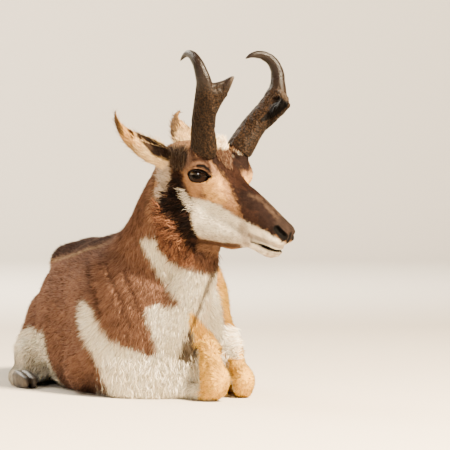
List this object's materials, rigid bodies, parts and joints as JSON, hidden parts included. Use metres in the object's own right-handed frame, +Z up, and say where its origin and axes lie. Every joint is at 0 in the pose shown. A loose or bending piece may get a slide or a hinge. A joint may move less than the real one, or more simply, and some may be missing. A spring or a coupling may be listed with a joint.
{
  "type": "pronghorn",
  "caption": "Life-size pronghorn buck lying on its chest with folded legs, head turned to its left, hooked horns with forward prongs.",
  "frame": {"origin": "centre of the bounding box's underside, on the floor that the animal lies on", "axes": "-Y the way the trunk faces, +X the animal's left, +Z up"},
  "size_m": [0.4066, 1.0358, 0.6559],
  "materials": {
    "coat": "matte short fur",
    "hoof": "satin horn",
    "horn": "rough below, smooth at the tips",
    "eye": "glossy wet"
  },
  "bodies": {
    "root": {"head": "coat", "neck": "coat", "torso": "coat", "tail": "coat", "ear_right": "coat", "ear_left": "coat", "foreleg_right": "coat", "foreleg_left": "coat", "hindleg_right": "coat", "hindleg_left": "coat", "hoof_fore_right": "hoof", "hoof_fore_left": "hoof", "hoof_hind_right": "hoof", "hoof_hind_left": "hoof", "horn_right": "horn", "horn_left": "horn", "eye_right": "eye", "eye_left": "eye"}
  },
  "joints": []
}
